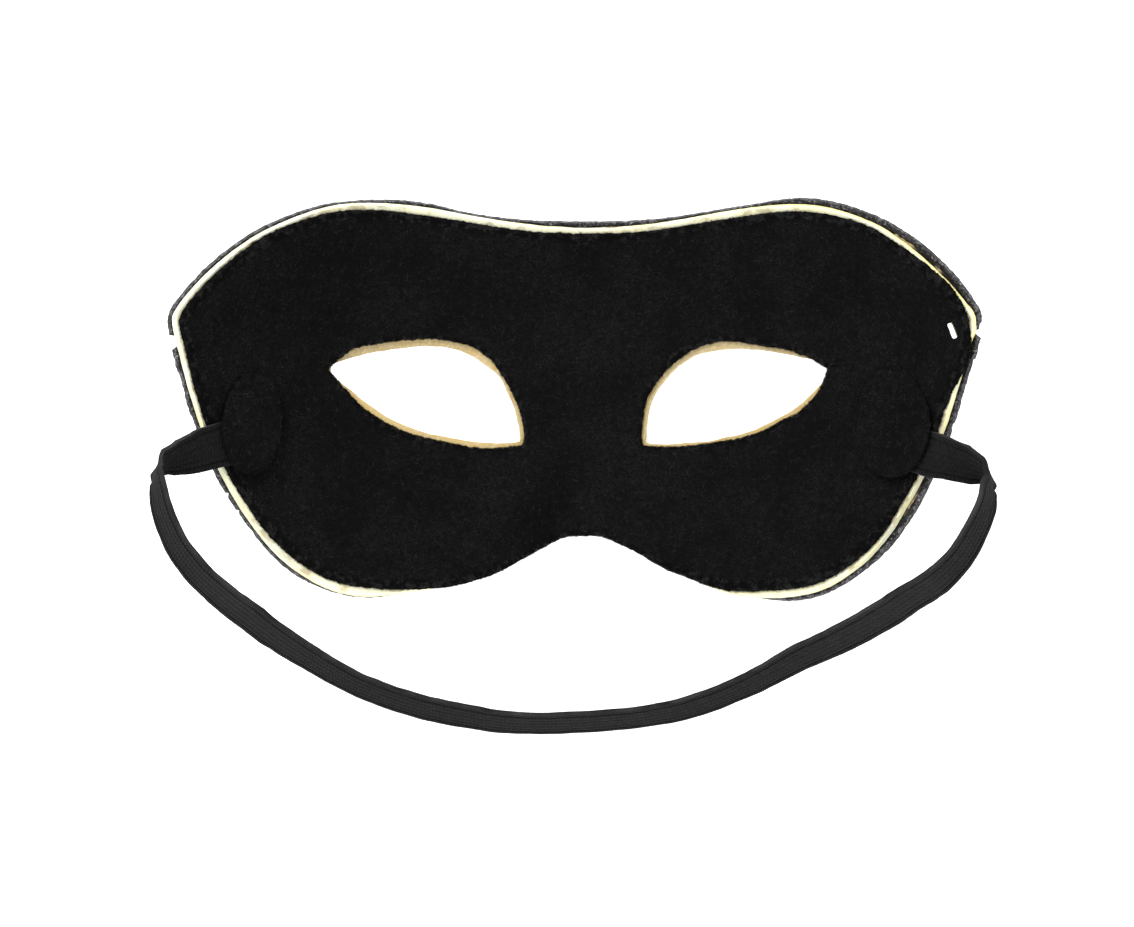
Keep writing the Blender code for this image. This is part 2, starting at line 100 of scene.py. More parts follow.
# How far each layer's cut edge stands out from the even edge in plan, in millimetres, by the place round the
# edge's middle: degrees from +X towards +Y, cover, core, lining
EDGE_TRIM = {
    Edge.RIM: (
        (0, -0.2, -0.6, -0.3), (3, -0.2, -0.5, 0.7), (4.5, -0.1, -0.5, 1.5), (8, 0.0, -0.3, 1.3),
        (9.3, 0.0, 0.1, 0.5), (10.3, 0.0, -0.2, -0.2), (12, 0.0, -0.5, -0.5), (14, 0.0, -0.9, 0.0),
        (16, 0.1, -1.0, 0.25), (20, 0.2, -1.1, -0.15), (23, 0.3, -1.0, -0.4), (26, 0.3, -0.8, -0.4),
        (30, 0.4, -0.3, 0.0), (40, 0.6, 0.1, -0.1), (50, -0.3, 0.0, -0.3), (60, -0.3, -0.1, -0.2),
        (75, 0.1, -0.1, -0.2), (80, 0.1, -0.3, -0.2), (90, 0.2, -0.3, -0.2), (100, 0.2, 0.0, 0.0),
        (110, 0.2, 0.4, 0.2), (120, 0.1, 0.6, 0.4), (130, 0.9, 0.9, 0.5), (140, 0.4, 0.8, 0.7),
        (150, 0.2, 0.2, 0.5), (160, 0.2, 0.1, 0.1), (170, 0.1, 0.0, -0.1), (180, 0.4, 0.3, 0.4),
        (200, 0.6, 0.8, 0.6), (210, 1.0, 1.15, 0.6), (220, 0.3, 1.1, 0.4), (230, -0.3, 0.6, 1.4),
        (240, 0.2, 0.4, 1.5), (250, -0.5, -0.4, 0.5), (260, -0.5, -0.4, 0.25), (270, 0.0, 0.1, 0.6),
        (280, -0.4, -0.4, 0.1), (290, -1.0, -1.0, -0.4), (300, -0.6, -0.4, 0.4), (310, 0.4, 1.6, 1.65),
        (320, 0.8, 0.8, 0.55), (330, 0.7, 0.5, 0.35), (336, 0.8, 0.1, 0.2), (342, 0.7, -0.4, -0.4),
        (350, 0.1, -0.6, -0.4), (357, -0.1, -0.6, -0.6),
    ),
    Edge.LEFT_EYE: (
        (0, 0.8, 1.0, 1.3), (15, 0.3, 0.3, 0.9), (30, 0.5, 0.5, 0.0), (45, 0.3, 0.3, -0.4),
        (60, 0.2, 0.2, -0.2), (75, 0.0, 0.0, -0.2), (90, -0.1, -0.1, -0.55), (105, -0.2, -0.2, -0.5),
        (120, -0.3, -0.3, -0.8), (135, -0.5, -0.5, -1.0), (150, -0.85, -0.85, -1.45),
        (165, -1.3, -1.3, 0.2), (180, -0.2, -0.2, 0.6), (195, 0.05, 0.05, 0.25), (210, -0.1, -0.1, 0.25),
        (240, 0.05, 0.05, 0.2), (270, -0.1, -0.1, 0.3), (285, 0.05, 0.05, 0.4), (300, 0.05, 0.05, 0.2),
        (315, -0.25, -0.25, -0.2), (330, -0.35, -0.35, 0.2), (338, 0.3, 0.3, 0.3), (345, 0.6, 0.8, 0.9),
    ),
    Edge.RIGHT_EYE: (
        (0, -1.0, -1.0, -0.4), (15, -1.3, -1.3, 1.2), (30, -0.1, -0.1, 0.6), (45, 0.2, 0.2, 0.35),
        (60, 0.3, 0.3, 0.7), (75, 0.6, 0.6, 0.6), (90, 0.6, 0.6, 0.3), (105, 0.8, 0.8, 0.15),
        (120, 0.8, 0.8, 0.3), (135, 0.4, 0.4, 0.3), (150, 0.4, 0.4, 0.5), (165, 0.4, 0.4, 0.5),
        (180, 0.3, 0.3, 0.4), (195, 0.4, 0.4, 0.8), (204, 0.3, 0.3, 0.5), (210, -0.7, -0.7, 0.25),
        (225, -0.4, -0.4, 0.25), (240, -0.6, -0.6, 0.35), (255, -0.4, -0.4, 0.35), (270, -0.6, -0.6, 0.0),
        (285, -0.6, -0.6, -0.1), (300, -0.7, -0.7, -0.2), (315, -0.5, -0.5, -0.15), (330, -0.6, -0.6, 0.0),
        (345, -0.85, -0.85, -0.65),
    ),
}

# Where the cover's edge was snipped at the temples: from and to these degrees round the plan's middle, and
# how much further out it stands there, in millimetres
COVER_SNIPS = (
    (5.5, 8.4, 0.35), (8.4, 9.2, -1.2), (9.2, 10.2, -0.4), (171.2, 173.0, -1.3), (173.0, 176.1, 0.25),
    (179.3, 182.4, 0.20), (190.5, 191.9, 0.20), (191.9, 194.9, 0.30), (194.9, 195.3, -0.35),
    (195.3, 198.1, 0.20), (198.1, 198.5, -0.35), (198.5, 201.3, 0.10), (355.2, 355.9, -0.30),
)


def curve_through(rows: list, per_row: int) -> list:
    """Find points on a smooth centripetal curve.

    Args:
        rows: The points that the curve passes through.
        per_row: How many points it gets from each row to the next.

    Returns:
        The points, the last row included.
    """
    points = [Vector(row) for row in rows]
    points = [2 * points[0] - points[1]] + points + [2 * points[-1] - points[-2]]
    found = []
    for p0, p1, p2, p3 in zip(points, points[1:], points[2:], points[3:]):
        t1 = (p1 - p0).length ** 0.5
        t2 = t1 + (p2 - p1).length ** 0.5
        t3 = t2 + (p3 - p2).length ** 0.5
        for step in range(per_row):
            t = t1 + (t2 - t1) * step / per_row
            a1 = p0 * ((t1 - t) / t1) + p1 * (t / t1)
            a2 = p1 * ((t2 - t) / (t2 - t1)) + p2 * ((t - t1) / (t2 - t1))
            a3 = p2 * ((t3 - t) / (t3 - t2)) + p3 * ((t - t2) / (t3 - t2))
            b1 = a1 * ((t2 - t) / t2) + a2 * (t / t2)
            b2 = a2 * ((t3 - t) / (t3 - t1)) + a3 * ((t - t1) / (t3 - t1))
            found.append(b1 * ((t2 - t) / (t2 - t1)) + b2 * ((t - t1) / (t2 - t1)))
    found.append(points[-2])
    return found


def turn_at(edge: Edge, place: Vector) -> float:
    """Find a place's direction from an edge's middle, in degrees from +X towards +Y."""
    return math.degrees(math.atan2(place.y - edge.value[1], place.x - edge.value[0])) % 360


def trim_at(edge: Edge, layer: Layer, turn: float) -> float:
    """Read EDGE_TRIM smoothly between its rows.

    Args:
        edge: The cut edge.
        layer: The layer whose column is read.
        turn: The direction from the edge's middle, in degrees.

    Returns:
        How far the edge stands out there, in metres.
    """
    rows = EDGE_TRIM[edge]
    rows = rows + ((rows[0][0] + 360,) + tuple(rows[0][1:]),)
    for a, b in zip(rows, rows[1:]):
        if a[0] <= turn <= b[0]:
            share = (turn - a[0]) / (b[0] - a[0])
            share = share * share * (3 - 2 * share)
            return (a[layer.value] + (b[layer.value] - a[layer.value]) * share) * MILLIMETRE
    return 0.0


def edge_at(place: Vector) -> Edge:
    """Tell which cut edge a place belongs to.

    Args:
        place: A place on an edge.

    Returns:
        The edge.
    """
    for edge in (Edge.LEFT_EYE, Edge.RIGHT_EYE):
        middle = edge.value
        if abs(place.x - middle[0]) < EYE_ROOM[0] and abs(place.y - middle[1]) < EYE_ROOM[1]:
            return edge
    return Edge.RIM


def ripple(place: Vector, size: float, octaves: int = 3) -> float:
    """Give smooth noise from about -1 to 1 whose waves are of the given size."""
    return noise.fractal(place / size, 1.0, 2.0, octaves)


def put_in_scene(name: str, made: bmesh.types.BMesh) -> Item:
    """Turn a bmesh into an object at the origin.

    Args:
        name: The object's name.
        made: The bmesh, which is freed.

    Returns:
        The linked object.
    """
    mesh = bpy.data.meshes.new(name)
    made.to_mesh(mesh)
    made.free()
    item = bpy.data.objects.new(name, mesh)
    bpy.context.scene.collection.objects.link(item)
    return item


def apply_modifiers(item: Item) -> None:
    """Bake an object's modifiers into its own mesh.

    Args:
        item: The object.
    """
    bpy.context.view_layer.update()
    graph = bpy.context.evaluated_depsgraph_get()
    baked = bpy.data.meshes.new_from_object(item.evaluated_get(graph), depsgraph=graph)
    item.modifiers.clear()
    old = item.data
    item.data = baked
    bpy.data.meshes.remove(old)
    baked.name = item.name


def set_places(mesh: bpy.types.Mesh, places: list) -> None:
    """Move all of a mesh's vertices at once."""
    mesh.vertices.foreach_set("co", [number for place in places for number in place])
    mesh.update()


def refine(item: Item, levels: int) -> None:
    """Subdivide an object smoothly.

    Args:
        item: The object.
        levels: How many times each face is divided in four.
    """
    fine = item.modifiers.new("fine", "SUBSURF")
    fine.levels = fine.render_levels = levels
    apply_modifiers(item)


def whole(made: bmesh.types.BMesh) -> list:
    """List all that a bmesh holds."""
    return made.verts[:] + made.edges[:] + made.faces[:]


def join_flats(made: bmesh.types.BMesh) -> None:
    """Join the triangles of a sheet into faces with four sides where they match."""
    bmesh.ops.join_triangles(made, faces=made.faces, angle_face_threshold=SHEET_TURN,
                             angle_shape_threshold=CORNER_TURN)


def dress(item: Item, material: Material, sharp: float = 180.0) -> None:
    """Give an object its one material and smooth shading.

    Args:
        item: The object.
        material: Its finish.
        sharp: The angle in degrees from which an edge looks sharp.
    """
    item.data.materials.clear()
    item.data.materials.append(material)
    item.data.shade_smooth()
    item.data.set_sharp_from_angle(angle=math.radians(sharp))


def merged_copy(node: str) -> bmesh.types.BMesh:
    """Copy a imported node's mesh and weld its loose triangles.

    Args:
        node: The node's name.

    Returns:
        The welded copy.
    """
    made = bmesh.new()
    made.from_mesh(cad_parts[node].data)
    bmesh.ops.remove_doubles(made, verts=made.verts, dist=MERGE)
    made.normal_update()
    return made


def hand_over(item: Item, slot: str, *nodes: str) -> None:
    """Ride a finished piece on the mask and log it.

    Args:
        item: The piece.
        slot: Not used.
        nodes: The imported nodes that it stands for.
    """
    if nodes:
        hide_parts(*nodes)
    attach(item, BODY)
    LOG.info("%s: %d faces", item.name, len(item.data.polygons))


@dataclass(frozen=True)
class Spots:
    """Spots of noise: the size of its waves, the levels at which a spot starts and is full, and its looks."""

    size: float
    start: float
    full: float
    detail: float = 3.0       # how many finer waves lie on the noise
    strength: float = 1.0     # what a full spot gives


class NodeNet:
    """A node tree with short calls for adding nodes and joining them."""

    def __init__(self, tree: bpy.types.NodeTree) -> None:
        """Keep the tree."""
        self.tree = tree

    def add(self, kind: str, **values: object) -> bpy.types.Node:
        """Add a node.

        Args:
            kind: The node's type.
            values: Its settings, or where no setting has that name, its inputs with _ for a space.

        Returns:
            The node.
        """
        node = self.tree.nodes.new(kind)
        for key, value in values.items():
            if hasattr(node, key):
                setattr(node, key, value)
            else:
                node.inputs[key.replace("_", " ")].default_value = value
        return node

    def join(self, source: Socket, target: Socket) -> None:
        """Link two sockets."""
        self.tree.links.new(source, target)

    def math(self, operation: str, *values: object, clamp: bool = False) -> Socket:
        """Add a Math node.

        Args:
            operation: The operation's name.
            values: Its inputs, numbers or sockets.
            clamp: Whether the result is kept from 0 to 1.

        Returns:
            The node's output.
        """
        node = self.tree.nodes.new("ShaderNodeMath")
        node.operation = operation
        node.use_clamp = clamp
        for i, value in enumerate(values):
            if isinstance(value, Socket):
                self.join(value, node.inputs[i])
            else:
                node.inputs[i].default_value = value
        return node.outputs[0]

    def ramp(self, source: Socket, low: float, high: float) -> Socket:
        """Spread a value softly to 0..1 and keep it inside.

        Args:
            source: The value.
            low: What becomes 0.
            high: What becomes 1.

        Returns:
            The new value.
        """
        node = self.add("ShaderNodeMapRange", interpolation_type="SMOOTHSTEP", From_Min=low, From_Max=high)
        self.join(source, node.inputs["Value"])
        return node.outputs["Result"]

    def mix(self, share: object, low: object, high: object) -> Socket:
        """Blend two colours.

        Args:
            share: The blend's share, a number or a socket.
            low: The colour at 0, three numbers or a socket.
            high: The colour at 1, three numbers or a socket.

        Returns:
            The blended colour.
        """
        node = self.add("ShaderNodeMix", data_type="RGBA")
        for value, name in ((share, "Factor_Float"), (low, "A_Color"), (high, "B_Color")):
            target = next(s for s in node.inputs if s.identifier == name)
            if isinstance(value, Socket):
                self.join(value, target)
            elif name == "Factor_Float":
                target.default_value = value
            else:
                target.default_value = (*value, 1)
        return next(s for s in node.outputs if s.identifier == "Result_Color")

    def speckle(self, size: float, detail: float = 3.0, roughness: float = 0.6) -> Socket:
        """Add noise in the object's own space.

        Args:
            size: The size of its waves, in metres.
            detail: How many finer waves lie on them.
            roughness: How strong the finer waves are.

        Returns:
            The noise, about 0.3 to 0.7.
        """
        node = self.add("ShaderNodeTexNoise", Scale=1 / size, Detail=detail, Roughness=roughness)
        self.join(self.add("ShaderNodeTexCoord").outputs["Object"], node.inputs["Vector"])
        return node.outputs["Fac"]

    def spots(self, spots: Spots) -> Socket:
        """Add spots of noise, 0 between them and their own strength inside."""
        found = self.ramp(self.speckle(spots.size, spots.detail), spots.start, spots.full)
        return self.math("MULTIPLY", found, spots.strength)

    def shaken(self, value: Socket, size: float, detail: float = 3.0) -> Socket:
        """Shift a value up and down by noise whose waves are of the given size."""
        return self.math("ADD", value, self.math("SUBTRACT", self.speckle(size, detail), 0.5))

    def attribute(self, name: str) -> Socket:
        """Read one of the piece's own attributes."""
        return self.add("ShaderNodeAttribute", attribute_name=name).outputs["Fac"]

    def bump(self, height: Socket, distance: float, strength: float) -> Socket:
        """Add a Bump node.

        Args:
            height: The height, 0 to 1.
            distance: What 1 stands for, in metres.
            strength: The bump's strength.

        Returns:
            The bent normal.
        """
        node = self.add("ShaderNodeBump", Strength=strength, Distance=distance)
        self.join(height, node.inputs["Height"])
        return node.outputs["Normal"]


def start_group(name: str, inputs: tuple, outputs: tuple) -> tuple:
    """Start a shader node group whose sockets are all numbers.

    Args:
        name: The group's name.
        inputs: The names of its inputs.
        outputs: The names of its outputs.

    Returns:
        The group, its net, and the nodes for its inputs and its outputs.
    """
    tree = bpy.data.node_groups.new(name, "ShaderNodeTree")
    for names, side in ((inputs, "INPUT"), (outputs, "OUTPUT")):
        for socket in names:
            tree.interface.new_socket(socket, in_out=side, socket_type="NodeSocketFloat")
    net = NodeNet(tree)
    return tree, net, net.add("NodeGroupInput"), net.add("NodeGroupOutput")


def fuzz_group() -> bpy.types.NodeTree:
    """Build the node group for matted fibres, which the felt and the elastic share.

    Returns:
        A group with inputs Fibre and Patch, both sizes in metres, and outputs Shade, Cloud and Height.
    """
    name = "matted_fibres"
    if name in bpy.data.node_groups:
        return bpy.data.node_groups[name]
    tree, net, entry, leave = start_group(name, ("Fibre", "Patch"), ("Shade", "Cloud", "Height"))
    wave = net.add("ShaderNodeTexNoise", Detail=2.0, Roughness=0.65, Distortion=1.5)
    cloud = net.add("ShaderNodeTexNoise", Detail=2.0, Roughness=0.6)
    place = net.add("ShaderNodeTexCoord").outputs["Object"]
    for node, size in ((wave, "Fibre"), (cloud, "Patch")):
        net.join(place, node.inputs["Vector"])
        net.join(net.math("DIVIDE", 1.0, entry.outputs[size]), node.inputs["Scale"])
    net.join(net.ramp(wave.outputs["Fac"], *FUZZ_SHADE), leave.inputs["Shade"])
    net.join(net.ramp(cloud.outputs["Fac"], *FUZZ_CLOUD), leave.inputs["Cloud"])
    net.join(wave.outputs["Fac"], leave.inputs["Height"])
    return tree


def cut_edge_group() -> bpy.types.NodeTree:
    """Build the node group for bands along a cut edge, which the core and the cover share.

    Returns:
        A group with inputs From, To and Wobble, and output Band, 1 where the attribute depth lies between
        From and To.
    """
    name = "cut_edge_band"
    if name in bpy.data.node_groups:
        return bpy.data.node_groups[name]
    tree, net, entry, leave = start_group(name, ("From", "To", "Wobble"), ("Band",))
    shake = net.math("MULTIPLY", net.math("SUBTRACT", net.speckle(EDGE_WAVE), 0.5), entry.outputs["Wobble"])
    depth = net.math("ADD", net.attribute("depth"), shake)
    low = net.math("GREATER_THAN", depth, entry.outputs["From"])
    high = net.math("LESS_THAN", depth, entry.outputs["To"])
    net.join(net.math("MULTIPLY", low, high), leave.inputs["Band"])
    return tree


def edge_band(net: NodeNet, start: float, end: float, wobble: float) -> Socket:
    """Add the band that lies between two depths of a cut edge."""
    band = net.add("ShaderNodeGroup", node_tree=cut_edge_group(), From=start, To=end, Wobble=wobble)
    return band.outputs["Band"]


@dataclass(frozen=True)
class Finish:
    """What every finish has: its name, its colours and how rough it is."""

    name: str
    colour: tuple
    other_colour: tuple
    roughness: float
    gloss: float = 0.25       # specular level

    def start(self) -> tuple:
        """Make a new material.

        Returns:
            The material, its net of nodes and its Principled shader.
        """
        material = bpy.data.materials.new(self.name)
        material.use_nodes = True
        net = NodeNet(material.node_tree)
        shader = material.node_tree.nodes["Principled BSDF"]
        shader.inputs["Roughness"].default_value = self.roughness
        shader.inputs["Specular IOR Level"].default_value = self.gloss
        return material, net, shader


@dataclass(frozen=True)
class FeltFinish(Finish):
    """Black felt: short matted fibres with faint clouds."""

    fibre: float = 0.0005
    patch: float = 0.014
    cloud_floor: float = 0.35     # how much of the fibres' shade is left between the clouds
    relief: tuple = (0.0002, 0.8)

    def build(self) -> Material:
        """Make the material.

        Returns:
            The material.
        """
        material, net, shader = self.start()
        fuzz = net.add("ShaderNodeGroup", node_tree=fuzz_group(), Fibre=self.fibre, Patch=self.patch)
        cloud = net.math("ADD", fuzz.outputs["Cloud"], self.cloud_floor)
        shade = net.math("MULTIPLY", fuzz.outputs["Shade"], cloud)
        net.join(net.mix(shade, self.colour, self.other_colour), shader.inputs["Base Color"])
        net.join(net.bump(fuzz.outputs["Height"], *self.relief), shader.inputs["Normal"])
        return material


@dataclass(frozen=True)
class FibreFinish(Finish):
    """Loose felt fibres, some paler than others."""

    pale: Spots = Spots(0.0016, 0.45, 0.65, detail=1.0)

    def build(self) -> Material:
        """Make the material.

        Returns:
            The material.
        """
        material, net, shader = self.start()
        net.join(net.mix(net.spots(self.pale), self.colour, self.other_colour), shader.inputs["Base Color"])
        return material


@dataclass(frozen=True)
class CoreFinish(Finish):
    """Cream core: pressed board, yellowed near the glue, with brown glue stains and painted shade where the
    felt lies on it, and painted light and shade on the eye holes' walls.
    """

    yellow: tuple = (0.85, 0.77, 0.34)
    # brown of the glue stains and flecks, and of the painted shade along the felt's edge
    dirt_and_shade: tuple = (0.22, 0.15, 0.09)
    # the lower lids' walls face up and get painted light, the upper lids' walls face down and get painted
    # shade
    lower_lid: tuple = (0.54, 0.39, 0.13)
    shaded_upper_lid: tuple = (0.36, 0.31, 0.18)
    lid_pale: tuple = (0.74, 0.69, 0.46)
    # colour of the rust spots on the lids, and of the painted shade under the felt
    lid_rust_and_shade: tuple = (0.36, 0.22, 0.06)
    tints: Spots = Spots(0.009, 0.42, 0.62, detail=2.0)
    glue_spots: Spots = Spots(0.02, 0.5, 0.6, detail=1.0, strength=0.5)
    glue_right: tuple = (0.01, 0.05)    # across, from no yellowing to the full one
    glue_up: tuple = (0.0, 0.01)        # up the face, the same
    glue_depth: tuple = (-1.0, 0.5)     # the yellowed share of the cut edge
    # brown glue stains and painted shade along the felt's edge, on the upper face and the top of the cut
    stains_and_shade: Spots = Spots(0.0045, 0.47, 0.68, strength=0.55)
    stain_and_shade_depth: tuple = (0.86, 2.0)
    wobble: float = 0.5
    flecks: Spots = Spots(0.0006, 0.70, 0.76, detail=1.0, strength=0.5)
    rust_spots: Spots = Spots(0.006, 0.52, 0.64, detail=2.0, strength=0.6)
    pale_spots: Spots = Spots(0.0007, 0.46, 0.62, detail=4.0, strength=0.7)
    lid_light_change: tuple = (0.1, 0.9)      # from the upper lid's painted shade to the lower one's painted light
    lid_wave: float = 0.0012
    felt_shade: tuple = (0.70, 1.05)    # depths where the painted shade under the felt starts and is full
    felt_wave: float = 0.0007
    felt_shade_strength: float = 0.6
    lid_strength: float = 0.9
    grain: float = 0.0005
    relief: tuple = (0.00012, 0.7)

    def lid_colour(self, net: NodeNet) -> Socket:
        """Mix the colours of the eye holes' walls, with painted light on the lower lids and painted shade on
        the upper lids and under the felt.

        Args:
            net: The material's net.

        Returns:
            The colour.
        """
        # painted light where a lid's wall faces up, painted shade where it faces down
        lower = net.ramp(net.shaken(net.attribute("lower_lid"), self.lid_wave, 4.0), *self.lid_light_change)
        lid = net.mix(lower, self.shaded_upper_lid, self.lower_lid)
        lid = net.mix(net.spots(self.rust_spots), lid, self.lid_rust_and_shade)
        lid = net.mix(net.spots(self.pale_spots), lid, self.lid_pale)
        # painted shade along the wall's upper edge, under the felt
        shade_under_felt = net.ramp(net.shaken(net.attribute("depth"), self.felt_wave), *self.felt_shade)
        return net.mix(net.math("MULTIPLY", shade_under_felt, self.felt_shade_strength), lid, self.lid_rust_and_shade)

    def build(self) -> Material:
        """Make the material.

        Returns:
            The material.
        """
        material, net, shader = self.start()
        toned = net.mix(net.spots(self.tints), self.colour, self.other_colour)
        place = net.add("ShaderNodeSeparateXYZ")
        net.join(net.add("ShaderNodeTexCoord").outputs["Object"], place.inputs[0])
        right = net.ramp(place.outputs["X"], *self.glue_right)
        corner = net.math("MULTIPLY", right, net.ramp(place.outputs["Y"], *self.glue_up))
        glue = net.math("MAXIMUM", corner, net.spots(self.glue_spots))
        glued = net.math("MULTIPLY", edge_band(net, *self.glue_depth, self.wobble), glue)
        toned = net.mix(glued, toned, self.yellow)
        # brown glue stains and painted shade along the felt's edge
        stained_and_shaded = net.math("MULTIPLY", edge_band(net, *self.stain_and_shade_depth, self.wobble), net.spots(self.stains_and_shade))
        toned = net.mix(stained_and_shaded, toned, self.dirt_and_shade)
        toned = net.mix(net.spots(self.flecks), toned, self.dirt_and_shade)
        at_eye = net.math("MULTIPLY", net.attribute("eye"), self.lid_strength)
        net.join(net.mix(at_eye, toned, self.lid_colour(net)), shader.inputs["Base Color"])
        net.join(net.bump(net.speckle(self.grain, 4.0), *self.relief), shader.inputs["Normal"])
        return material


@dataclass(frozen=True)
class CoverFinish(Finish):
    """Grey-black textured cover: coarse cells on its face, and a tan backing at its cut edge."""

    backing: tuple = (0.42, 0.33, 0.19)
    pale: tuple = (0.42, 0.40, 0.43)
    cell: float = 0.0026
    groove: tuple = (0.02, 0.16)        # distances from a cell's border where its groove ends
    groove_floor: float = 0.25          # how light the grooves still are
    grain: float = 0.0005
    grain_light: tuple = (0.40, 0.66)
    inside: tuple = (0.62, 0.80)        # depths where the grey nap ends and all is black: the dark backing, and painted shade of the gap to the core
    nap_wave: float = 0.0009
    flecks: Spots = Spots(0.0007, 0.60, 0.68, detail=2.0, strength=0.5)
    backing_depth: tuple = (0.84, 0.96)
    wobble: float = 0.2
    backing_spots: Spots = Spots(0.006, 0.48, 0.58, detail=2.0)
    heights: tuple = (0.7, 0.6)         # of the cells and of the grain
    relief: tuple = (0.0003, 0.9)

    def build(self) -> Material:
        """Make the material.

        Returns:
            The material.
        """
        material, net, shader = self.start()
        cells = net.add("ShaderNodeTexVoronoi", feature="DISTANCE_TO_EDGE", Scale=1 / self.cell,
                        Randomness=0.9)
        net.join(net.add("ShaderNodeTexCoord").outputs["Object"], cells.inputs["Vector"])
        groove = net.ramp(cells.outputs["Distance"], *self.groove)
        grain = net.speckle(self.grain, 4.0, 0.7)
        light = net.math("MULTIPLY", net.ramp(grain, *self.grain_light),
                         net.math("ADD", groove, self.groove_floor), clamp=True)
        # the inner part of the cut edge is all black: the dark backing, and painted shade of the gap to the
        # core
        inner = net.ramp(net.shaken(net.attribute("depth"), self.nap_wave), *self.inside)
        outer = net.math("SUBTRACT", 1.0, inner)
        base = net.mix(net.math("MULTIPLY", light, outer), self.colour, self.other_colour)
        base = net.mix(net.math("MULTIPLY", net.spots(self.flecks), outer), base, self.pale)
        band = edge_band(net, *self.backing_depth, self.wobble)
        base = net.mix(net.math("MULTIPLY", band, net.spots(self.backing_spots)), base, self.backing)
        net.join(base, shader.inputs["Base Color"])
        parts = [net.math("MULTIPLY", part, share) for part, share in zip((groove, grain), self.heights)]
        net.join(net.bump(net.math("ADD", *parts), *self.relief), shader.inputs["Normal"])
        return material


@dataclass(frozen=True)
class ElasticFinish(Finish):
    """Black knitted elastic, whose stitches follow the band's own map, with painted shade in its grooves, one
    face painted lighter and a painted highlight along its edges.
    """

    stitch: float = 0.0009
    slant: float = 1.4            # stitches by which the knit lags at a rib's side
    ribs: int = 7
    fibre: float = 0.0009
    patch: float = 0.009
    # colour of the painted highlight along both edges of the band
    edge_highlight: tuple = (0.030, 0.030, 0.031)
    # painted light: colour of the face of the band that is painted lighter
    reverse: tuple = (0.014, 0.014, 0.015)
    light_share: float = 0.6
    sheen: float = 0.02
    edge_highlight_from: tuple = (0.465, 0.485)    # shares of the width from its middle where the painted highlight starts and is full
    edge_highlight_floor: float = 0.2
    edge_highlight_share: float = 0.8
    heights: tuple = (0.6, 0.5)   # of the stitches and of the fuzz
    relief: tuple = (0.00012, 0.8)

    def build(self) -> Material:
        """Make the material.

        Returns:
            The material.
        """
        material, net, shader = self.start()
        shader.inputs["Sheen Weight"].default_value = self.sheen
        split = net.add("ShaderNodeSeparateXYZ")
        net.join(net.add("ShaderNodeUVMap", uv_map="band").outputs["UV"], split.inputs[0])
        across = net.math("MULTIPLY", split.outputs["Y"], self.ribs)
        beside = net.math("ABSOLUTE", net.math("SUBTRACT", net.math("FRACT", across), 0.5))
        along = net.math("DIVIDE", split.outputs["X"], self.stitch)
        slanted = net.math("ADD", along, net.math("MULTIPLY", beside, self.slant))
        wave = net.math("SINE", net.math("MULTIPLY", slanted, 2 * math.pi))
        stitch = net.math("MULTIPLY", net.math("ADD", wave, 1.0), 0.5)
        fuzz = net.add("ShaderNodeGroup", node_tree=fuzz_group(), Fibre=self.fibre, Patch=self.patch)
        # painted shade: the colour darkens with how deep each groove between the ribs is pressed
        top = net.math("SUBTRACT", 1.0, net.attribute("pressed"), clamp=True)
        shade = net.math("MULTIPLY", net.math("ADD", stitch, fuzz.outputs["Shade"]), top)
        shade = net.math("MULTIPLY", shade, self.light_share, clamp=True)
        # painted light: one face of the band is painted lighter than the other
        light = net.mix(net.attribute("reverse"), self.other_colour, self.reverse)
        base = net.mix(shade, self.colour, light)
        # painted highlight: a pale line along both edges of the band
        from_middle = net.math("ABSOLUTE", net.math("SUBTRACT", split.outputs["Y"], 0.5))
        cloud = net.math("ADD", fuzz.outputs["Cloud"], self.edge_highlight_floor)
        rim = net.math("MULTIPLY", net.ramp(from_middle, *self.edge_highlight_from), cloud)
        rim = net.math("MULTIPLY", rim, self.edge_highlight_share, clamp=True)
        net.join(net.mix(rim, base, self.edge_highlight), shader.inputs["Base Color"])
        parts = [net.math("MULTIPLY", part, share)
                 for part, share in zip((stitch, fuzz.outputs["Height"]), self.heights)]
        net.join(net.bump(net.math("ADD", *parts), *self.relief), shader.inputs["Normal"])
        return material


@dataclass(frozen=True)
class FloorFinish(Finish):
    """Matt white paper, lit from below as on a light table."""

    glow: float = 0.6
    cloud: float = 0.2        # size of the paper's faint clouds

    def build(self) -> Material:
        """Make the material.

        Returns:
            The material.
        """
        material, net, shader = self.start()
        shade = net.speckle(self.cloud, 1.0)
        net.join(net.mix(shade, self.colour, self.other_colour), shader.inputs["Base Color"])
        shader.inputs["Emission Color"].default_value = WHITE
        shader.inputs["Emission Strength"].default_value = self.glow
        return material


@dataclass
class PhotoCamera:
    """The camera, over the mask and a little to the right of its middle."""

    target: tuple = (-0.00265, -0.01462, 0.020)
    distance: float = 0.900
    lean: float = 0.067       # sine of its lean to the right
    lens: float = 126.0       # millimetres
    sensor: float = 36.0      # millimetres
    clip: tuple = (0.05, 10.0)

    def build(self) -> None:
        """Make the camera the scene's own."""
        level = math.sqrt(1 - self.lean ** 2)
        right = Vector((level, 0, -self.lean))
        back = Vector((self.lean, 0, level))
        up = back.cross(right)
        lens = bpy.data.cameras.new("photo_camera")
        lens.lens = self.lens
        lens.sensor_width = self.sensor
        lens.clip_start, lens.clip_end = self.clip
        camera = bpy.data.objects.new("photo_camera", lens)
        bpy.context.scene.collection.objects.link(camera)
        turn = Matrix((right, up, back)).transposed().to_4x4()
        camera.matrix_world = Matrix.Translation(Vector(self.target) + back * self.distance) @ turn
        bpy.context.scene.camera = camera


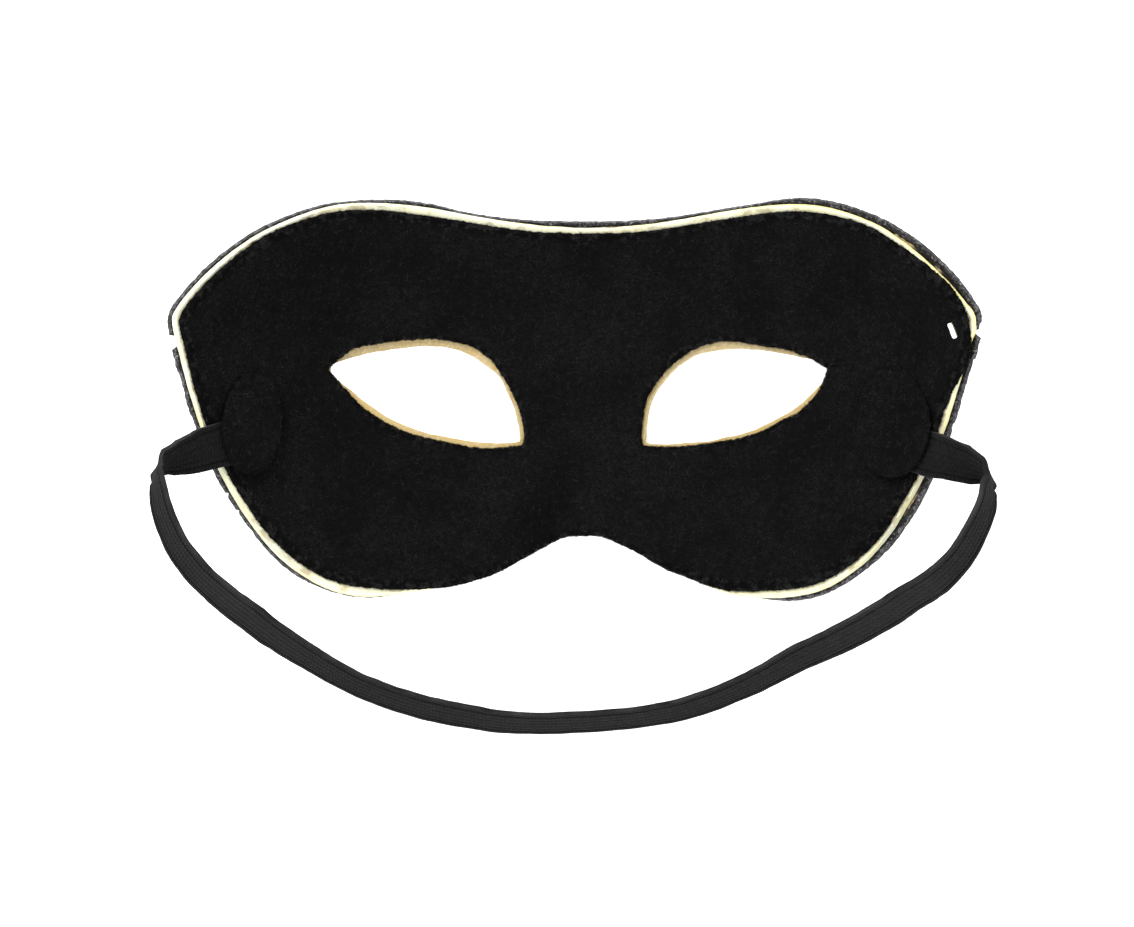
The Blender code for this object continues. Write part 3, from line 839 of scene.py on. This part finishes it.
@dataclass
class Studio:
    """A white floor under large soft lights."""

    floor_size: float = 6.0
    floor_finish: FloorFinish = FloorFinish("white_paper", (0.90,) * 3, (0.94,) * 3, 0.9)
    sky: float = 0.8
    # Name, place, size, power in watts
    lights: tuple = (
        ("key_light", (-0.55, 0.75, 1.15), 0.9, 22.0),
        ("fill_light", (0.75, -0.35, 1.05), 1.0, 9.0),
        ("low_light", (-0.20, -0.95, 0.60), 0.8, 5.0),
    )

    def build(self) -> None:
        """Lay the floor and hang the lights."""
        made = bmesh.new()
        bmesh.ops.create_grid(made, x_segments=4, y_segments=4, size=self.floor_size / 2)
        floor = put_in_scene("floor", made)
        floor.data.materials.append(self.floor_finish.build())
        for name, place, size, power in self.lights:
            lamp = bpy.data.lights.new(name, "AREA")
            lamp.shape = "SQUARE"
            lamp.size = size
            lamp.energy = power
            light = bpy.data.objects.new(name, lamp)
            light.location = place
            light.rotation_mode = "QUATERNION"
            light.rotation_quaternion = Vector(place).to_track_quat("Z", "Y")
            bpy.context.scene.collection.objects.link(light)
        world = bpy.data.worlds.new("studio_air")
        world.use_nodes = True
        world.node_tree.nodes["Background"].inputs["Strength"].default_value = self.sky
        world.node_tree.nodes["Background"].inputs["Color"].default_value = WHITE
        bpy.context.scene.world = world
        bpy.context.scene.view_settings.view_transform = "Standard"
        LOG.info("studio ready")


@dataclass
class SlotCutter:
    """The upright slot with round ends that goes through all the layers near the right temple."""

    length: float = 0.0037
    width: float = 0.0012
    place: tuple = (0.0838, 0.0147, 0.033)
    lean: float = 20.0        # degrees
    height: float = 0.040
    rounding: float = 0.4     # corner radius as a share of the width

    def build(self) -> Item:
        """Make the cutter.

        Returns:
            The cutter, which the caller removes.
        """
        made = bmesh.new()
        bmesh.ops.create_cube(made, size=1)
        bmesh.ops.scale(made, vec=(self.width, self.length, self.height), verts=made.verts)
        upright = [e for e in made.edges if abs(e.verts[0].co.z - e.verts[1].co.z) > self.width]
        bmesh.ops.bevel(made, geom=upright, offset=self.width * self.rounding, segments=3, profile=0.5,
                        affect="EDGES", material=-1)
        bmesh.ops.rotate(made, verts=made.verts, matrix=Matrix.Rotation(math.radians(self.lean), 3, "Z"))
        bmesh.ops.translate(made, verts=made.verts, vec=self.place)
        return put_in_scene("slot_cutter", made)


@dataclass
class ShellLayer:
    """One layer of the shell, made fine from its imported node: cut edges as the real ones, wall and slot."""

    node: str
    layer: Layer
    slot: str
    wall: float
    rag: float                # how far the cut edge frays
    rag_size: float           # size of the frays
    top_lean: float           # how far the upper edge of the cut stands back from the lower one
    swell: float              # unevenness of the upper face
    swell_size: float
    corner_angle: float = 30.0    # degrees, the least turn of a corner in a cut edge
    corner_crease: float = 0.25
    reach: float = 0.007      # how far in from an edge a trim moves the sheet
    edge_depth: float = 1.0   # what the attribute depth says at the cut's upper edge
    edge_nap: float = 16.0    # how much more fibre the cut edge carries than the face
    edge_swell: float = 0.3   # share of the swell that the cut edge gets
    lean_change: float = 0.5  # how much the lean of the cut changes along it
    plan_floor: float = 0.5   # least plan length that a way out counts with, so that steep ones don't run off
    sharp: float = 45.0       # degrees
    levels: int = 2
    edge_cuts: int = 2

    def open_sheet(self) -> Item:
        """Take the node's lower sheet, even on both sides, and make it fine.

        Returns:
            The open sheet, facing down.
        """
        made = merged_copy(self.node)
        bmesh.ops.bisect_plane(made, geom=whole(made), dist=MERGE, plane_co=(0, 0, 0), plane_no=(1, 0, 0),
                               clear_outer=True)
        made.normal_update()
        seed = min(made.faces, key=lambda face: face.normal.z)
        keep = {seed}
        front = [seed]
        while front:
            face = front.pop()
            for edge in face.edges:
                for other in edge.link_faces:
                    if other not in keep and face.normal.angle(other.normal) < SHEET_TURN:
                        keep.add(other)
                        front.append(other)
        bmesh.ops.delete(made, geom=[face for face in made.faces if face not in keep], context="FACES")
        join_flats(made)
        bmesh.ops.mirror(made, geom=whole(made), merge_dist=MERGE * 5, axis="X")
        bmesh.ops.recalc_face_normals(made, faces=made.faces)
        if sum(face.normal.z for face in made.faces) > 0:
            bmesh.ops.reverse_faces(made, faces=made.faces)
        self.crease_corners(made)
        LOG.info("%s: sheet of %d faces, %d of them triangles", self.node, len(made.faces),
                 sum(len(face.verts) == 3 for face in made.faces))
        item = put_in_scene(self.node + "_fine", made)
        refine(item, self.levels)
        return item

    def crease_corners(self, made: bmesh.types.BMesh) -> None:
        """Keep the sharp corners of the cut edges from being rounded away.

        Args:
            made: The coarse sheet.
        """
        crease = made.verts.layers.float.new("crease_vert")
        for vert in made.verts:
            rim = [edge for edge in vert.link_edges if edge.is_boundary]
            if len(rim) == 2:
                ways = [edge.other_vert(vert).co - vert.co for edge in rim]
                if ways[0].angle(-ways[1]) > math.radians(self.corner_angle):
                    vert[crease] = self.corner_crease

    def edge_ways(self, made: bmesh.types.BMesh) -> dict:
        """Find the way out of the sheet at each vertex of its cut edges.

        Args:
            made: The sheet.

        Returns:
            The unit way out, in the sheet's surface, of each such vertex.
        """
        ways: dict = {}
        for edge in made.edges:
            if not edge.is_boundary:
                continue
            face = edge.link_faces[0]
            along = edge.verts[1].co - edge.verts[0].co
            out = along.cross(face.normal).normalized()
            middle = (edge.verts[0].co + edge.verts[1].co) / 2
            if out.dot(face.calc_center_median() - middle) > 0:
                out = -out
            for vert in edge.verts:
                ways[vert] = ways.get(vert, Vector()) + out
        return {vert: way.normalized() for vert, way in ways.items()}

    def edge_shift(self, place: Vector) -> float:
        """Work out how far the cut edge stands out, frays and snips included.

        Args:
            place: A place on the edge.

        Returns:
            The distance in metres.
        """
        edge = edge_at(place)
        turn = turn_at(edge, place)
        shift = trim_at(edge, self.layer, turn) + self.rag * ripple(place, self.rag_size)
        if edge is Edge.RIM and self.layer is Layer.COVER:
            shift += sum(out for start, end, out in COVER_SNIPS if start < turn <= end) * MILLIMETRE
        return shift

    def shape_edges(self, item: Item) -> None:
        """Divide the cut edges finely and move them to where the real ones lie.

        Args:
            item: The open sheet.
        """
        made = bmesh.new()
        made.from_mesh(item.data)
        rim = [edge for edge in made.edges if edge.is_boundary]
        bmesh.ops.subdivide_edges(made, edges=rim, cuts=self.edge_cuts)
        made.normal_update()
        ways = self.edge_ways(made)
        tree = kdtree.KDTree(len(ways))
        outs = list(ways.values())
        shifts = []
        for i, (vert, way) in enumerate(ways.items()):
            tree.insert(vert.co, i)
            shifts.append(way * (self.edge_shift(vert.co) / max(way.xy.length, self.plan_floor)))
        tree.balance()
        made.verts.layers.float.new("eye")
        made.verts.layers.float.new("lower_lid")
        near_eye, lower_lid = (made.verts.layers.float[name] for name in ("eye", "lower_lid"))
        moves = []
        for vert in made.verts:
            place, i, distance = tree.find(vert.co)
            vert[near_eye] = float(edge_at(place) is not Edge.RIM)
            # how much an eye's wall faces up, for the painted light on the lower lids and the painted shade
            # on the upper ones
            vert[lower_lid] = 0.5 + 0.5 * outs[i].y
            if distance < self.reach:
                moves.append((vert, shifts[i] * (1 - distance / self.reach) ** 2))
        for vert, move in moves:
            vert.co += move
        made.normal_update()
        made.to_mesh(item.data)
        made.free()

    def thicken(self, item: Item) -> None:
        """Give the sheet its wall, and mark how deep and how near an edge each point lies.

        Args:
            item: The open sheet.
        """
        count = len(item.data.vertices)
        made = bmesh.new()
        made.from_mesh(item.data)
        ways = {vert.index: way for vert, way in self.edge_ways(made).items()}
        made.free()
        wall = item.modifiers.new("wall", "SOLIDIFY")
        wall.thickness = self.wall
        wall.offset = -1
        wall.use_even_offset = True
        apply_modifiers(item)
        mesh = item.data
        for name in ("depth", "nap"):
            mesh.attributes.new(name, "FLOAT", "POINT")
        depth, nap = mesh.attributes["depth"].data, mesh.attributes["nap"].data
        places = [vert.co.copy() for vert in mesh.vertices]
        normals = [vert.normal.copy() for vert in mesh.vertices]
        for i in range(count, len(places)):
            depth[i].value = 1.0
            nap[i].value = 1.0
            lift = self.swell * (0.5 + 0.5 * ripple(places[i], self.swell_size))
            if i - count in ways:
                depth[i].value = self.edge_depth
                nap[i].value = self.edge_nap
                lean = 1 + self.lean_change * ripple(places[i], self.rag_size * 2)
                places[i] -= ways[i - count] * self.top_lean * lean
                lift *= self.edge_swell
            places[i] += normals[i] * lift
        set_places(mesh, places)

    def cut_slot(self, item: Item) -> None:
        """Cut the slot through the wall.

        Args:
            item: The walled layer.
        """
        cutter = SlotCutter().build()
        cut = item.modifiers.new("slot", "BOOLEAN")
        cut.operation = "DIFFERENCE"
        cut.object = cutter
        apply_modifiers(item)
        bpy.data.objects.remove(cutter, do_unlink=True)

    def build(self, material: Material) -> Item:
        """Make the layer and dress it.

        Args:
            material: Its finish.

        Returns:
            The finished piece.
        """
        item = self.open_sheet()
        self.shape_edges(item)
        self.thicken(item)
        self.cut_slot(item)
        dress(item, material, self.sharp)
        hand_over(item, self.slot, self.node)
        return item


@dataclass
class FeltPatch:
    """One oval felt patch over an end of the elastic."""

    node: str
    slot: str = "black_felt"
    levels: int = 2
    unevenness: float = 0.00012
    grain: float = 0.002
    top: float = 0.2          # least upward share of the normal on the upper face
    side_nap: float = 0.5     # how much of the upper face's fibre the rest carries

    def build(self, material: Material) -> Item:
        """Make the patch soft-edged and dress it.

        Args:
            material: Its finish.

        Returns:
            The finished piece.
        """
        made = merged_copy(self.node)
        join_flats(made)
        item = put_in_scene(self.node + "_fine", made)
        refine(item, self.levels)
        mesh = item.data
        nap = mesh.attributes.new("nap", "FLOAT", "POINT").data
        places = []
        for i, (place, normal) in enumerate([(vert.co.copy(), vert.normal.copy()) for vert in mesh.vertices]):
            nap[i].value = 1.0 if normal.z > self.top else self.side_nap
            places.append(place + normal * self.unevenness * ripple(place, self.grain))
        set_places(mesh, places)
        dress(item, material)
        hand_over(item, self.slot, self.node)
        return item


@dataclass
class FeltNap:
    """Loose fibres on the upper face and the cut edges of a felt piece."""

    name: str
    density: float            # fibres on a square metre
    seed: int
    length: float = 0.0013
    thickness: float = 0.00007
    bow: float = 0.00015      # how far a fibre's middle stands up
    sizes: tuple = (0.5, 1.5)    # shares of the length
    tilt: float = 0.3         # radians, the most that a fibre leans either way
    slot: str = "black_felt"

    def fibre(self, material: Material) -> Item:
        """Make one bowed fibre, pointed at both ends, along X.

        Args:
            material: Its finish.

        Returns:
            The fibre, which the caller removes.
        """
        made = bmesh.new()
        half = self.length / 2
        bmesh.ops.create_cone(made, cap_ends=False, segments=3, radius1=self.thickness / 2, radius2=0,
                              depth=half)
        bmesh.ops.rotate(made, verts=made.verts, matrix=Matrix.Rotation(math.radians(90), 3, "Y"))
        bmesh.ops.translate(made, verts=made.verts, vec=(half / 2, 0, 0))
        bmesh.ops.mirror(made, geom=whole(made), merge_dist=MERGE, axis="X")
        for vert in made.verts:
            if abs(vert.co.x) < half / 2:
                vert.co.z += self.bow
        bmesh.ops.recalc_face_normals(made, faces=made.faces)
        item = put_in_scene(self.name + "_fibre", made)
        item.data.materials.append(material)
        return item

    def scatter_tree(self, fibre: Item) -> bpy.types.NodeTree:
        """Build the nodes that strew the fibre over a felt piece.

        Args:
            fibre: The fibre.

        Returns:
            A geometry node tree whose output is the fibres alone.
        """
        tree = bpy.data.node_groups.new(self.name, "GeometryNodeTree")
        tree.interface.new_socket("Geometry", in_out="INPUT", socket_type="NodeSocketGeometry")
        tree.interface.new_socket("Geometry", in_out="OUTPUT", socket_type="NodeSocketGeometry")
        net = NodeNet(tree)
        entry = net.add("NodeGroupInput")
        leave = net.add("NodeGroupOutput")
        spread = net.add("GeometryNodeDistributePointsOnFaces", Seed=self.seed)
        net.join(entry.outputs[0], spread.inputs["Mesh"])
        share = net.add("GeometryNodeInputNamedAttribute", data_type="FLOAT")
        share.inputs["Name"].default_value = "nap"
        net.join(net.math("MULTIPLY", share.outputs[0], self.density), spread.inputs["Density"])
        source = net.add("GeometryNodeObjectInfo")
        source.inputs["Object"].default_value = fibre
        place = net.add("GeometryNodeInstanceOnPoints")
        net.join(spread.outputs["Points"], place.inputs["Points"])
        net.join(source.outputs["Geometry"], place.inputs["Instance"])
        net.join(spread.outputs["Rotation"], place.inputs["Rotation"])
        size = net.add("FunctionNodeRandomValue", data_type="FLOAT", Seed=self.seed + 1)
        size.inputs[2].default_value, size.inputs[3].default_value = self.sizes
        net.join(size.outputs[1], place.inputs["Scale"])
        turn = net.add("FunctionNodeRandomValue", data_type="FLOAT_VECTOR", Seed=self.seed + 2)
        turn.inputs[0].default_value = (-self.tilt, -self.tilt, 0.0)
        turn.inputs[1].default_value = (self.tilt, self.tilt, 2 * math.pi)
        rotate = net.add("GeometryNodeRotateInstances")
        net.join(place.outputs["Instances"], rotate.inputs["Instances"])
        net.join(turn.outputs[0], rotate.inputs["Rotation"])
        real = net.add("GeometryNodeRealizeInstances")
        net.join(rotate.outputs["Instances"], real.inputs["Geometry"])
        net.join(real.outputs["Geometry"], leave.inputs[0])
        return tree

    def build(self, felt: Item, material: Material) -> Item:
        """Strew the fibres over a felt piece.

        Args:
            felt: The felt piece, which has the attribute nap.
            material: The fibres' finish.

        Returns:
            The fibres, joined.
        """
        fibre = self.fibre(material)
        item = bpy.data.objects.new(self.name, felt.data.copy())
        bpy.context.scene.collection.objects.link(item)
        strew = item.modifiers.new("strew", "NODES")
        strew.node_group = self.scatter_tree(fibre)
        apply_modifiers(item)
        bpy.data.objects.remove(fibre, do_unlink=True)
        hand_over(item, self.slot)
        return item


@dataclass
class ElasticStrap:
    """The flat ribbed elastic from one patch to the other."""

    node: str = "elastic_strap"
    slot: str = "black_elastic"
    width: float = 0.010
    thickness: float = 0.0010
    length: float = 0.330     # of its middle line, both hidden ends included
    per_row: int = 12
    across: int = 42          # faces across the band
    groove: float = 0.00025   # depth of the deepest grooves between the ribs
    # Each groove's share of that depth, from edge to edge
    grooves: tuple = (0.5, 1.0, 0.45, 0.3, 0.4, 0.3, 0.9, 0.5)
    groove_change: float = 0.4    # how much their depth changes along the band
    groove_wave: float = 0.004
    wander: float = 0.00025   # how far the edges wander
    wander_wave: float = 0.006
    sharp: float = 60.0       # degrees

    def stations(self) -> tuple:
        """Find the middle line and the width's direction along it.

        Returns:
            The points of the middle line, and at each one the direction across the band.
        """
        path = curve_through([row[:3] for row in STRAP_ROUTE], self.per_row)
        ways = []
        for i in range(len(path)):
            way = (path[min(i + 1, len(path) - 1)] - path[max(i - 1, 0)]).normalized()
            side = Vector((0, 0, 1)).cross(way).normalized()
            upright = way.cross(side)
            row, part = divmod(i, self.per_row)
            ends = STRAP_ROUTE[row][3], STRAP_ROUTE[min(row + 1, len(STRAP_ROUTE) - 1)][3]
            lean = math.radians(ends[0] + (ends[1] - ends[0]) * part / self.per_row)
            ways.append(side * math.sin(lean) + upright * math.cos(lean))
        return path, ways

    def build(self, material: Material) -> Item:
        """Make the band and dress it.

        Args:
            material: Its finish.

        Returns:
            The finished piece.
        """
        path, ways = self.stations()
        rings = len(path)
        made = bmesh.new()
        layer = made.loops.layers.uv.new("band")
        bmesh.ops.create_grid(made, x_segments=rings - 1, y_segments=self.across, size=0.5)
        shares = {vert: (vert.co.x + 0.5, vert.co.y + 0.5) for vert in made.verts}
        runs = [0.0]
        for a, b in zip(path, path[1:]):
            runs.append(runs[-1] + (b - a).length)
        for face in made.faces:
            for loop in face.loops:
                x, y = shares[loop.vert]
                loop[layer].uv = (runs[round(x * (rings - 1))], y)
        for vert, (x, y) in shares.items():
            i = round(x * (rings - 1))
            out = (y - 0.5) * self.width
            out += self.wander * (2 * y - 1) * ripple(Vector((runs[i], y > 0.5, 0)), self.wander_wave)
            vert.co = path[i] + ways[i] * out
        item = put_in_scene(self.node + "_fine", made)
        wall = item.modifiers.new("wall", "SOLIDIFY")
        wall.thickness = self.thickness
        wall.offset = 0
        apply_modifiers(item)
        self.press_grooves(item)
        dress(item, material, self.sharp)
        hand_over(item, self.slot, self.node)
        LOG.info("strap of %.4f m", runs[-1])
        return item

    def press_grooves(self, item: Item) -> None:
        """Press the grooves between the ribs into both faces, and mark them and the face of the band that is
        painted lighter.

        Args:
            item: The walled band, whose map band says where each point lies.
        """
        mesh = item.data
        for name in ("pressed", "reverse"):
            mesh.attributes.new(name, "FLOAT", "POINT")
        pressed, reverse = mesh.attributes["pressed"].data, mesh.attributes["reverse"].data
        ribs = len(self.grooves) - 1
        across = {}
        for loop, place in zip(mesh.loops, mesh.uv_layers["band"].data):
            across[loop.vertex_index] = place.uv.copy()
        places = []
        for i, (place, normal) in enumerate([(vert.co.copy(), vert.normal.copy()) for vert in mesh.vertices]):
            run, share = across[i]
            nearest = round(share * ribs)
            beside = 1 - 2 * abs(share * ribs - nearest)
            uneven = 1 + self.groove_change * ripple(Vector((run, share, 0)), self.groove_wave)
            pressed[i].value = self.grooves[nearest] * uneven * beside ** 3
            # the first of the band's two faces gets the painted light
            reverse[i].value = float(i < len(across) // 2)
            places.append(place - normal * self.groove * pressed[i].value)
        set_places(mesh, places)


def main() -> None:
    """Build the mask in order and log each piece."""
    logging.basicConfig(level=logging.INFO, format="%(name)s: %(message)s")
    PhotoCamera().build()
    elastic = ElasticFinish("black_elastic", (0.0022, 0.0022, 0.0024), (0.0105, 0.0105, 0.011),
                            roughness=0.85, gloss=0.04).build()
    felt = FeltFinish("black_felt", (0.0022, 0.0022, 0.0022), (0.0085, 0.0085, 0.0085),
                      roughness=0.95, gloss=0.04).build()
    nap = FibreFinish("felt_fibres", (0.003, 0.003, 0.003), (0.021, 0.021, 0.021),
                      roughness=0.9, gloss=0.05).build()
    core = CoreFinish("cream_core", (0.78, 0.77, 0.57), (0.78, 0.75, 0.48), roughness=0.85).build()
    cover = CoverFinish("textured_cover", (0.005, 0.005, 0.005), (0.11, 0.107, 0.12), roughness=0.6).build()
    ElasticStrap().build(elastic)
    ShellLayer("outer_cover", Layer.COVER, "textured_cover", wall=0.0010, rag=0.00014, rag_size=0.0010,
               top_lean=0.0, swell=0.0, swell_size=0.01, edge_depth=0.6).build(cover)
    ShellLayer("shell_core", Layer.CORE, "cream_core", wall=0.0012, rag=0.00006, rag_size=0.0015,
               top_lean=0.0001, swell=0.0, swell_size=0.01).build(core)
    lining = ShellLayer("felt_lining", Layer.LINING, "black_felt", wall=0.0010, rag=0.00020, rag_size=0.0005,
                        top_lean=0.0002, swell=0.00018, swell_size=0.009).build(felt)
    FeltNap("lining_nap", density=1.9e6, seed=5).build(lining, nap)
    for seed, node in enumerate(("patch_left", "patch_right")):
        patch = FeltPatch(node).build(felt)
        FeltNap(node + "_nap", density=2.2e6, seed=20 + seed).build(patch, nap)
    Studio().build()


if __name__ == "__main__":
    main()
